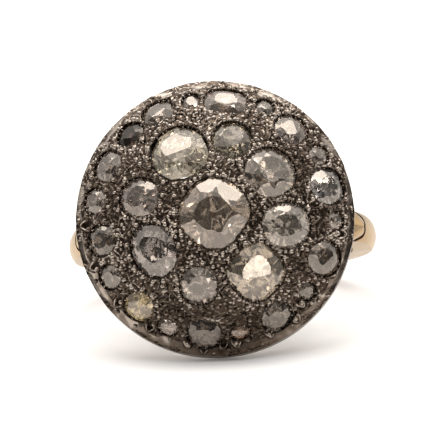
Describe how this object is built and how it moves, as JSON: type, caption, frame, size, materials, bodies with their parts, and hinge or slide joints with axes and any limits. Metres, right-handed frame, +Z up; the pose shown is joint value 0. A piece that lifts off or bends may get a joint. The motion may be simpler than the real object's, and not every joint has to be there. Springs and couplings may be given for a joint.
{
  "type": "cluster ring",
  "caption": "Antique cluster ring: a round domed head of darkened silver, grain-set all over with old-cut diamonds, on a plain yellow gold hoop with split shoulders.",
  "frame": {"origin": "on the floor, at the middle of the bounding box of the ring as it rests", "axes": "+Z up from the floor; the domed head faces -Y and leans back; +X to the right as seen from the head's side"},
  "size_m": [0.0205, 0.0236, 0.0169],
  "materials": {
    "darkened_silver": "oxidised silver, dark in the recesses and worn bright on the grains",
    "yellow_gold": "worn satin yellow gold",
    "diamond": "old-cut diamond, faceted and slightly hazy"
  },
  "bodies": {
    "root": {"silver_head": "darkened_silver", "gold_shank": "yellow_gold", "stone_centre": "diamond", "stone_inner_1": "diamond", "stone_inner_2": "diamond", "stone_inner_3": "diamond", "stone_inner_4": "diamond", "stone_inner_5": "diamond", "stone_inner_6": "diamond", "stone_inner_7": "diamond", "stone_inner_8": "diamond", "stone_outer_1": "diamond", "stone_outer_2": "diamond", "stone_outer_3": "diamond", "stone_outer_4": "diamond", "stone_outer_5": "diamond", "stone_outer_6": "diamond", "stone_outer_7": "diamond", "stone_outer_8": "diamond", "stone_outer_9": "diamond", "stone_outer_10": "diamond", "stone_outer_11": "diamond", "stone_outer_12": "diamond", "stone_outer_13": "diamond", "stone_outer_14": "diamond", "stone_outer_15": "diamond", "stone_outer_16": "diamond", "stone_outer_17": "diamond", "stone_outer_18": "diamond", "stone_outer_19": "diamond", "stone_outer_20": "diamond"}
  },
  "joints": []
}
